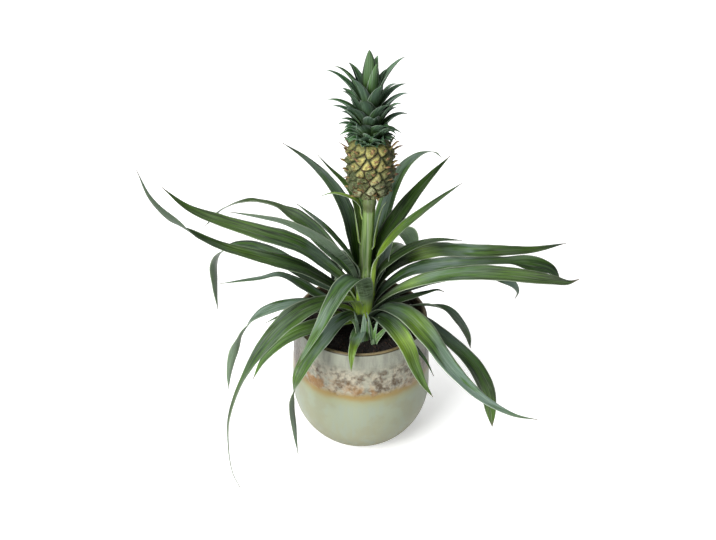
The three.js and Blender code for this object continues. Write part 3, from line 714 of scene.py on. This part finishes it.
def smallBlades(blade, rows, thick, channel, spread=1.0, taper=1.6, root=1.0):
    # many pointed blades at once, each a row of blade: turn, foot, start, reach, rise, hook, width;
    # outward with a power of its length, upward by rise and hook with one less a falling power, less hook
    # times the cube; eight points round each row
    turn, foot, start, reach, rise, hook, width = [column[:, None] for column in blade.T]
    s = np.linspace(0, 1, rows)[None]
    out = start + (reach - start) * s ** spread
    height = foot + (rise + hook) * (1 - (1 - s) ** 1.5) - hook * s ** 3
    ahead = joined(np.cos(turn), np.sin(turn), 0)
    side = joined(-np.sin(turn), np.cos(turn), 0)
    middle = ahead * out[..., None] + np.array([0, 0, 1]) * height[..., None]
    along = unit(np.gradient(middle, axis=1))
    face = np.cross(along, np.broadcast_to(side, along.shape))[:, :, None]
    half = (width / 2 * shareOfWidth(s, taper, root) + 0.12)[..., None]
    x = np.array([1, 0.6, 0, -0.6, -1, -0.6, 0, 0.6])
    flip = np.array([0, 1, 1, 1, 0, -1, -1, -1])
    lift = half * channel * (np.abs(x) ** 1.5 * 2 - 1) + thick * (1 - 0.6 * s[..., None]) * flip / 2
    points = middle[:, :, None] + side[:, :, None] * (half * x)[..., None] + face * lift[..., None]
    points = points + np.array([fruitX, 0, 0])
    form = joined(np.abs(x), (flip >= 0) * 1, s[..., None])
    form = np.broadcast_to(form, points.shape)
    along = s[..., None] * reach[..., None] / 10 + 7 * turn[..., None]
    uv = joined(half * x / 10, along)
    return points, uv, form


def addBracts(eyeAngle, eyeZ, rng):
    count = len(eyeAngle)
    z = eyeZ - 2.2
    high = ease(z, fruitShape["bottom"], fruitShape["bottom"] + fruitShape["height"])
    start = fruitRadius(z)
    turn = eyeAngle + rng.normal(0, 0.08, count)
    reach = start + 2.0 + 9.5 * rng.uniform(0, 1, count) ** 1.7
    rise = rng.uniform(0.5, 4.5, count) + 6 * high ** 3
    hook, width = rng.uniform(-1.5, 3, count), rng.uniform(3.4, 6, count)
    blade = joined(turn, z, start - 0.5, reach, rise, hook, width)
    points, uv, form = smallBlades(blade, rows=11, thick=0.6, channel=0.25, spread=0.8)
    curl = rng.normal(0, 2.2, (count, 1, 1)) * form[..., 2] ** 2
    points[..., 0] += curl * -np.sin(eyeAngle)[:, None, None]
    points[..., 1] += curl * np.cos(eyeAngle)[:, None, None]
    material = makeBractMaterial(fruitLook)
    addPiece("fruit-bracts", points, material, [], uv, {"leafForm": form})


def growFruit():
    rng = np.random.default_rng(7)
    eyeAngle, eyeZ = eyePlaces(rng)
    addFruit(makeFruitMaterial(fruitLook, fruitBands), eyeAngle, eyeZ, rng)
    addBracts(eyeAngle, eyeZ, rng)
    print("pineapple: fruit made", len(eyeAngle), "eyes")


growFruit()


# Crown: each leaf as (turn, foot, reach of the tip, rise of the tip, hook, width)

crownShape = {"foot": 369.5, "height": 54, "coreBottom": 12, "coreTop": 3.5, "inward": 2.5}
crownSides = [
    (188, 407, 34, 46, 0, 12), (172, 401, 43, 43, 2, 12.5), (204, 394, 29, 36, 0, 12),
    (192, 390, 42, 30, 3, 12), (178, 384, 37, 24, 4, 11), (197, 380, 29, 19, 3, 10),
    (182, 376, 32, 13, 7, 10), (202, 374, 32, 9, 8, 9), (185, 371.5, 24, 3, 9, 8),
    (165, 373, 26, 9, 8, 8), (5, 410, 33, 49, -2, 13.5), (338, 403, 27, 34, 2, 12),
    (14, 397, 36, 31, 4, 12), (352, 391, 37, 34, 2, 13), (333, 387, 33, 32, 1, 12),
    (15, 382, 27, 21, 4, 10), (2, 377, 37, 22, 7, 11.5), (350, 372.5, 31, 9, 10, 9),
    (10, 371, 21, 4, 9, 8), (335, 374, 28, 10, 9, 9), (192, 370, 26, 3, 7, 10),
    (172, 370, 25, 4, 6, 10), (207, 370, 25, 6, 6, 10), (352, 370, 26, 3, 7, 10),
    (6, 370, 25, 4, 6, 10), (332, 370, 25, 6, 6, 10), (198, 374, 27, 12, 7, 10),
    (345, 374, 27, 12, 7, 10),
]
crownFront = [
    (228, 402, 26, 44, 0, 15), (300, 400, 24, 40, 0, 15), (255, 394, 30, 34, 0, 17),
    (308, 391, 31, 30, 2, 15), (226, 388, 33, 29, 3, 15), (276, 386, 34, 25, 3, 17),
    (247, 380, 34, 20, 5, 16), (302, 380, 34, 19, 5, 16), (216, 378, 31, 16, 6, 13),
    (274, 375, 29, 13, 4, 16), (322, 377, 30, 14, 6, 13), (240, 373, 26, 10, 4, 15),
    (300, 372, 26, 9, 4, 15), (266, 371, 23, 7, 2, 15), (214, 371, 26, 5, 7, 11),
    (328, 371, 26, 5, 7, 11), (230, 370, 23, 5, 3, 12), (288, 370, 22, 4, 2, 13),
    (248, 370, 22, 4, 2, 12), (312, 370, 23, 4, 4, 12),
]
crownTop = [
    (258, 413, 5, 57, -3, 16.5), (318, 411, 9, 46, -3, 15), (100, 416, 9, 45, 0, 14),
    (60, 412, 15, 44, 0, 13), (150, 408, 22, 40, 0, 12), (20, 409, 17, 36, 0, 11),
]
crownLook = dict(
    leafLook,
    deep=(0.005, 0.021, 0.009),
    fresh=(0.042, 0.108, 0.03),
    bloomAndSheen=(0.115, 0.175, 0.14),
    under=(0.05, 0.08, 0.06),
    gold=(0.12, 0.26, 0.03),
    margin=(0.33, 0.4, 0.33),
)


def crownLeaves():
    # those behind mirror those in front, turned a little
    back = [(372 - turn, foot + 1.5, *rest) for turn, foot, *rest in crownFront]
    listed = np.array(crownSides + crownFront + back + crownTop, float)
    turn, foot, reach, rise, hook, wide = listed.T
    level = (foot - crownShape["foot"]) / crownShape["height"]
    core = between(crownShape["coreBottom"], crownShape["coreTop"], level) - crownShape["inward"]
    return joined(np.radians(turn), foot, core, reach, rise, hook, wide)


def addCrown(material):
    rng = np.random.default_rng(8)
    blade = crownLeaves()
    points, uv, form = smallBlades(
        blade, rows=17, thick=0.9, channel=0.32, spread=1.3, taper=1.25, root=0.85)
    count = len(blade)
    # painted shade: each crown leaf darker towards its foot, where the leaves crowd together; the tone also
    # differs at random
    toneAndShade = rng.uniform(0.7, 1.4, (count, 1, 1)) * between(0.35, 1, ease(form[..., 2], 0, 0.5))
    toneAndShade = toneAndShade * between(1.4, 1, ease(blade[:, 1], 371, 384))[:, None, None]
    gold = 0.6 * (1 - ease(form[..., 2], 0, 0.5)) + 0.4 * ease(blade[:, 1], 400, 420)[:, None, None]
    wax = rng.uniform(0, 1.3, (count, 1, 1))
    wax = wax * between(0.2, 1, ease(blade[:, 1], 372, 388))[:, None, None]
    marks = {"leafForm": form, "leafTintAndShade": joined(toneAndShade, gold, wax)}
    addPiece("crown-leaves", points, material, ["crown"], uv, marks)
    around = circle(24)
    t = np.linspace(0, 1, 12)[:, None]
    r = between(crownShape["coreBottom"], crownShape["coreTop"], t)
    core = turned(r, crownShape["foot"] + crownShape["height"] * t, around, fruitX)
    flat = np.zeros(core.shape)
    marks = {"leafForm": flat + (0.2, 1, 0.2), "leafTintAndShade": flat + (0.5, 0.2, 0)}
    addPiece("crown-core", core, material, [], flat[..., :2], marks)


addCrown(makeLeafMaterial("crownGreen", crownLook))
print("pineapple: crown made")


# Side shoot: a stub in the soil and pale narrow blades, with a few more beside it

shootShape = {
    "x": 13, "y": -38, "root": 141,
    "level": [128, 140, 144, 147, 150, 152], "radius": [3.0, 3, 2.8, 2.5, 1.9, 0.8],
}
shootLook = {"rows": 26, "steps": 4, "rib": 0.9, "sheath": 0.5}
shootBlades = [
    dict(at=(13, -38), turn=125, wide=5.5, path=[(2, 151), (4, 158), (6, 166), (9, 174), (13, 180)]),
    dict(at=(13, -38), turn=12, wide=7, rolls=[(0, -25), (1, -30)],
         path=[(4, 152), (8, 157), (13, 163), (19, 168)]),
    dict(at=(13, -37), turn=60, wide=4.5, path=[(2, 152), (4, 160), (8, 168), (12, 173)]),
    dict(at=(4, -36), turn=100, wide=10, path=[(1, 153), (1.5, 162), (3, 171), (6, 181)]),
    dict(at=(-3, -36), turn=155, wide=8, path=[(1, 153), (2, 164), (5, 172), (9, 174), (13, 168)]),
    dict(at=(-3, -34), turn=120, wide=5, path=[(1, 153), (2, 163), (5, 173), (9, 181)]),
]


def addShoot():
    around = circle(22)
    z, r = np.array(shootShape["level"])[:, None], np.array(shootShape["radius"])[:, None]
    stub = turned(r, z, around, shootShape["x"], shootShape["y"])
    groups = [(stub, 0 * stub[..., :2], 0 * stub + (0.3, 0, 0.2))]
    for number, blade in enumerate(shootBlades):
        leaf = dict(blade, root=shootShape["root"], seat=-1)
        rng = np.random.default_rng(60 + number)
        points, uv, form = leafRings(leaf, rng, dict(bladeShape, **shootLook), 0.7)
        points = points + (blade["at"][0] - stemShape["x"], blade["at"][1], 0)
        groups.append((points, uv, form))
    faces, before = [], 0
    for rings in [group[0] for group in groups]:
        faces += [[v + before for v in face] for face in ringFaces(rings)]
        before += rings.size // 3
    points, uv, form = [np.concatenate([g[k].reshape(-1, g[k].shape[-1]) for g in groups])
                        for k in range(3)]
    # painted light: the blades are brightened more than twice over, with full bloom
    marks = {"leafForm": form, "leafTintAndShade": 0 * form + (2.3, 0.05, 1)}
    addPiece("side-shoot-blades", points, leafMaterial, ["side_shoot"], uv, marks, faces)


addShoot()
print("pineapple: side shoot made")


# Pot: a profile turned about the axis, with the faint waviness of a thrown pot

potShape = {
    "belly": 76, "middle": 67, "rim": 72.2, "height": 157, "wall": 5.2, "floor": 7, "foot": 30,
    "around": 260,
}
# heights in metres where each band of the glaze begins and is full, and the same for the painted shade
# on the left and right flanks, outward from the middle
potBands = {
    "flankShade": (0.061, 0.071), "celadon": (0.005, 0.085), "halo": (0.084, 0.099), "ochre": (0.093, 0.102),
    "grains": (0.1, 0.108), "smooth": (0.128, 0.145), "lipEdge": (0.1548, 0.1555), "lip": (0.1559, 0.1566),
}
potLook = {
    "lip": (0.17, 0.13, 0.065),
    "lipEdge": (0.05, 0.04, 0.02),
    "white": (0.285, 0.3, 0.235),
    "grey": (0.2, 0.2, 0.17),
    "grain": (0.38, 0.35, 0.265),
    "brown": (0.085, 0.058, 0.032),
    "amber": (0.26, 0.135, 0.038),
    "ochre": (0.27, 0.19, 0.062),
    "halo": (0.28, 0.285, 0.15),
    "celadon": (0.275, 0.305, 0.215),
    "misty": (0.255, 0.3, 0.24),
    "cream": (0.255, 0.25, 0.155),
    # painted shade on the left and right flanks
    "flankShade": (0.044, 0.031, 0.021),
    "inside": (0.08, 0.06, 0.035),
}


def potSide(z):
    full = ease(z, potShape["middle"], potShape["height"] + 30) * 1.35
    return between(potShape["belly"], potShape["rim"], full)


def potProfile():
    # a ball cut flat below, drawn in slightly above its belly, a half-round lip, and the same inside
    belly, middle, wall, floor, foot = [potShape[k] for k in ("belly", "middle", "wall", "floor", "foot")]
    lip = wall / 2
    edge = potShape["height"] - lip
    low = np.linspace(math.asin(-middle / belly), 0, 40)
    ball = joined(belly * np.cos(low), middle + belly * np.sin(low))
    z = np.linspace(middle + 2, edge, 40)
    side = joined(potSide(z), z)
    turn = np.radians(np.linspace(12, 168, 12))
    rounded = joined(potSide(edge) - lip + lip * np.cos(turn), edge + lip * np.sin(turn))
    r = belly - wall
    low = np.linspace(0, math.asin((floor - middle) / r), 20)
    bowl = joined(r * np.cos(low), middle + r * np.sin(low))
    under, bottom = [(foot - 5, 0), (foot, 0)], [(foot - 10, floor)]
    return np.vstack([under, ball, side, rounded, side[::-1] - (wall, 0), bowl, bottom])


def makeGlaze(look, bands):
    # bands by height with ragged borders: cream, celadon, an ochre line, coarse grains, white, a brown lip
    material, surface = startMaterial("potGlaze", 0.25)
    where = objectPlace(surface)
    place = parts(where)
    height = place[2]
    flat = stretched(where, (1, 1, 0))
    away = put(flat, "VectorMath", [(0, flat)], operation="LENGTH").outputs["Value"]
    drift = noise(where, 30)
    coarse = noise(where, 85, 4, 0.6)
    grit = noise(where, 300, 4, 0.6)
    streak = noise(stretched(where, (150, 150, 22)), 1)
    lumps = noise(where, 115, 2, 0.5)
    beads = noise(where, 270, 2, 0.5)
    level = plus(height, times(plus(drift, -0.5), 0.012))
    ragged = plus(level, times(plus(coarse, -0.5), 0.016))
    mottle = plus(times(lumps, 0.6), times(beads, 0.4))
    blobs = plus(ramp(drift, 0.43, 0.55, 0, 0.8), ramp(place[0], -0.02, -0.045, 0, 0.7))
    blobs = times(blobs, ramp(ragged, 0.128, 0.108))
    blobs = times(blobs, ramp(coarse, 0.4, 0.56), clamp=True)
    # painted shade: above the ochre line the glaze darkens towards the far left and right, the pot's edges
    # as the camera sees them
    flankShade = times(ramp(maths("ABSOLUTE", place[0]), *bands["flankShade"]), ramp(ragged, 0.093, 0.115))
    flankShade = times(flankShade, ramp(coarse, 0.33, 0.6, 0.4, 0.9))
    grains = layers(look["brown"], look, [
        ("grain", ramp(mottle, 0.38, 0.62)),
        ("grey", ramp(grit, 0.45, 0.65, 0, 0.5)),
        ("white", ramp(coarse, 0.36, 0.5, 0.6, 0)),
        ("amber", times(blobs, 0.85)),
    ])
    smooth = mixColour(ramp(streak, 0.42, 0.7, 0, 0.8), look["white"], look["grey"])
    body = layers(look["cream"], look, [
        ("celadon", ramp(level, *bands["celadon"])),
        ("misty", ramp(streak, 0.45, 0.65, 0, 0.5)),
        ("cream", ramp(drift, 0.5, 0.62, 0, 0.5)),
        ("halo", ramp(level, *bands["halo"], 0, 0.8)),
        ("ochre", ramp(level, *bands["ochre"])),
    ])
    body = mixColour(ramp(ragged, *bands["grains"]), body, grains)
    body = mixColour(ramp(ragged, *bands["smooth"]), body, smooth)
    body = layers(body, look, [
        ("flankShade", flankShade),
        ("lipEdge", ramp(height, *bands["lipEdge"])),
        ("lip", ramp(height, *bands["lip"])),
        ("inside", times(ramp(away, 0.0688, 0.0678), ramp(height, 0.12, 0.125))),
    ])
    dress(surface, body, times(plus(grit, mottle), ramp(ragged, 0.1, 0.112)), 0.0014, 0.5)
    feed(surface, "Roughness", ramp(height, 0.01, 0.05, 0.7, 0.3))
    feed(surface, "Specular IOR Level", 0.3)
    feed(surface, "Coat Weight", 0.06)
    feed(surface, "Coat Roughness", 0.15)
    return material


def addPot():
    profile = potProfile()
    around = circle(potShape["around"])
    wave = 0.12 * np.sin(2 * around + 1) + 0.08 * np.sin(3 * around + 2)
    r = profile[:, :1] + wave * ease(profile[:, 1:], 20, 70)
    points = turned(r, profile[:, 1:], around)
    addPiece("pot-glazed", points, makeGlaze(potLook, potBands), ["pot"])


addPot()
print("pineapple: pot made")


# Soil: a lumpy surface over the filled pot, with loose bits of bark

soilShape = {"level": 145, "mound": 3, "radius": 66.3, "under": 120, "bits": 420, "spread": 64, "lump": 1.1}
soilLook = {
    "dark": (0.006, 0.004, 0.003),
    "brown": (0.03, 0.016, 0.01),
    "bark": (0.07, 0.03, 0.017),
}


def makeSoilMaterial(name, dark, light):
    material, surface = startMaterial(name, 0.9)
    crumbs = noise(objectPlace(surface), 420, 6, 0.7)
    dress(surface, mixColour(ramp(crumbs, 0.42, 0.72), dark, light), crumbs, 0.003)
    return material


def soilHeight(x, y, rng):
    far = np.hypot(x, y)
    ways = ((0.3, 31), (1.5, 23), (2.6, 13), (0.9, 7))
    lumps = sum(wander(rng, x * math.cos(a) + y * math.sin(a), 3, long) for a, long in ways)
    mound = soilShape["mound"] * (1 - ease(far, 10, 66))
    return soilShape["level"] + mound + soilShape["lump"] * 0.5 * lumps


def addSoil():
    around = circle(180)
    far = np.linspace(soilShape["radius"], 0.3, 80)[:, None] + 0 * around
    x, y = far * np.cos(around), far * np.sin(around)
    top = joined(x, y, soilHeight(x, y, np.random.default_rng(12)))
    skirt = turned(far[:1], soilShape["under"], around)
    base = turned(far[:1] * 0.3, soilShape["under"], around)
    points = np.concatenate([base, skirt, top])
    earth = makeSoilMaterial("pottingSoil", soilLook["dark"], soilLook["brown"])
    addPiece("soil-surface", points, earth, ["soil"])


def addBits():
    # boxes with seeded sizes and turns, their corners pushed about, resting on the soil
    rng = np.random.default_rng(44)
    count = soilShape["bits"]
    far = soilShape["spread"] * np.sqrt(rng.uniform(0.03, 1, count))
    turn = rng.uniform(0, 2 * np.pi, count)
    x, y = far * np.cos(turn), far * np.sin(turn)
    z = soilHeight(x, y, np.random.default_rng(12)) + 0.3
    corner = np.array([[[1, -1, k], [1, 1, k], [-1, 1, k], [-1, -1, k]] for k in (-1, 1)], float)
    size = rng.uniform(0.5, 1.6, (count, 1, 1, 3)) * (1.4, 0.8, 0.5)
    box = corner[None] * size * rng.uniform(0.7, 1.2, (count, 2, 4, 3))
    c, s = np.cos(turn)[:, None, None], np.sin(turn)[:, None, None]
    across, deep, high = np.moveaxis(box, -1, 0)
    placed = joined(across * c - deep * s, across * s + deep * c, high)
    tilt = rng.normal(0, 0.3, (count, 1, 1))
    placed[..., 2] += placed[..., 0] * tilt
    points = placed + joined(x, y, z)[:, None, None]
    bark = makeSoilMaterial("barkBits", soilLook["brown"], soilLook["bark"])
    addPiece("bark-bits", points, bark)


addSoil()
addBits()
print("pineapple: soil made")


# Floor, lights and background

studio = {
    "floor": (0.85, 0.85, 0.85), "reach": 2.6, "glow": 0.4, "low": 0.14, "high": 0.28,
    "target": (0, 0, 0.2),
}
lights = {
    "key": dict(place=(-2.8, -3.3, 3.1), size=2.8, power=390),
    "fill": dict(place=(3.2, -2.7, 1.7), size=3, power=9),
    "top": dict(place=(-0.2, 0.2, 3.9), size=2.6, power=75),
    "sheen": dict(place=(-0.3, 2.7, 2.5), size=2.4, power=12),
}


def addFloor():
    # pale, and a little brighter to the camera than it shines on the plant
    material, surface = startMaterial("floorPale", 0.9)
    feed(surface, "Base Color", studio["floor"])
    feed(surface, "Emission Color", (1, 1, 1))
    seen = put(surface, "LightPath").outputs["Is Camera Ray"]
    feed(surface, "Emission Strength", times(seen, studio["glow"]))
    far = studio["reach"]
    mesh = bpy.data.meshes.new("floor")
    mesh.from_pydata([(-far, -far, 0), (far, -far, 0), (far, far, 0), (-far, far, 0)], [], [(0, 1, 2, 3)])
    mesh.materials.append(material)
    floor = bpy.data.objects.new("floor", mesh)
    bpy.context.scene.collection.objects.link(floor)


def addLight(name, place, size, power):
    # a square lamp turned to the target
    lamp = bpy.data.lights.new(name, "AREA")
    lamp.energy = power
    lamp.size = size
    made = bpy.data.objects.new(name, lamp)
    made.location = place
    away = np.array(place) - np.array(studio["target"])
    flat = math.hypot(away[0], away[1])
    made.rotation_euler = (math.atan2(flat, away[2]), 0, math.atan2(away[0], -away[1]))
    bpy.context.scene.collection.objects.link(made)


def addAir():
    # white to the camera; as a light, dim at the horizon and brighter overhead
    world = bpy.data.worlds.new("studio")
    bpy.context.scene.world = world
    world.use_nodes = True
    soft = world.node_tree.nodes["Background"]
    height = parts(put(soft, "TexCoord").outputs["Generated"])[2]
    feed(soft, 0, (1, 1, 1))
    feed(soft, 1, ramp(height, 0, 0.9, studio["low"], studio["high"]))
    white = put(soft, "Background", [(0, (1, 1, 1)), (1, 1)])
    seen = put(soft, "LightPath").outputs["Is Camera Ray"]
    both = put(soft, "MixShader", [(0, seen), (1, soft.outputs[0]), (2, white.outputs[0])])
    feed(world.node_tree.nodes["World Output"], 0, both.outputs[0])


addFloor()
for name, light in lights.items():
    addLight(name, **light)
addAir()
bpy.context.scene.view_settings.view_transform = "Standard"
print("pineapple: studio made")
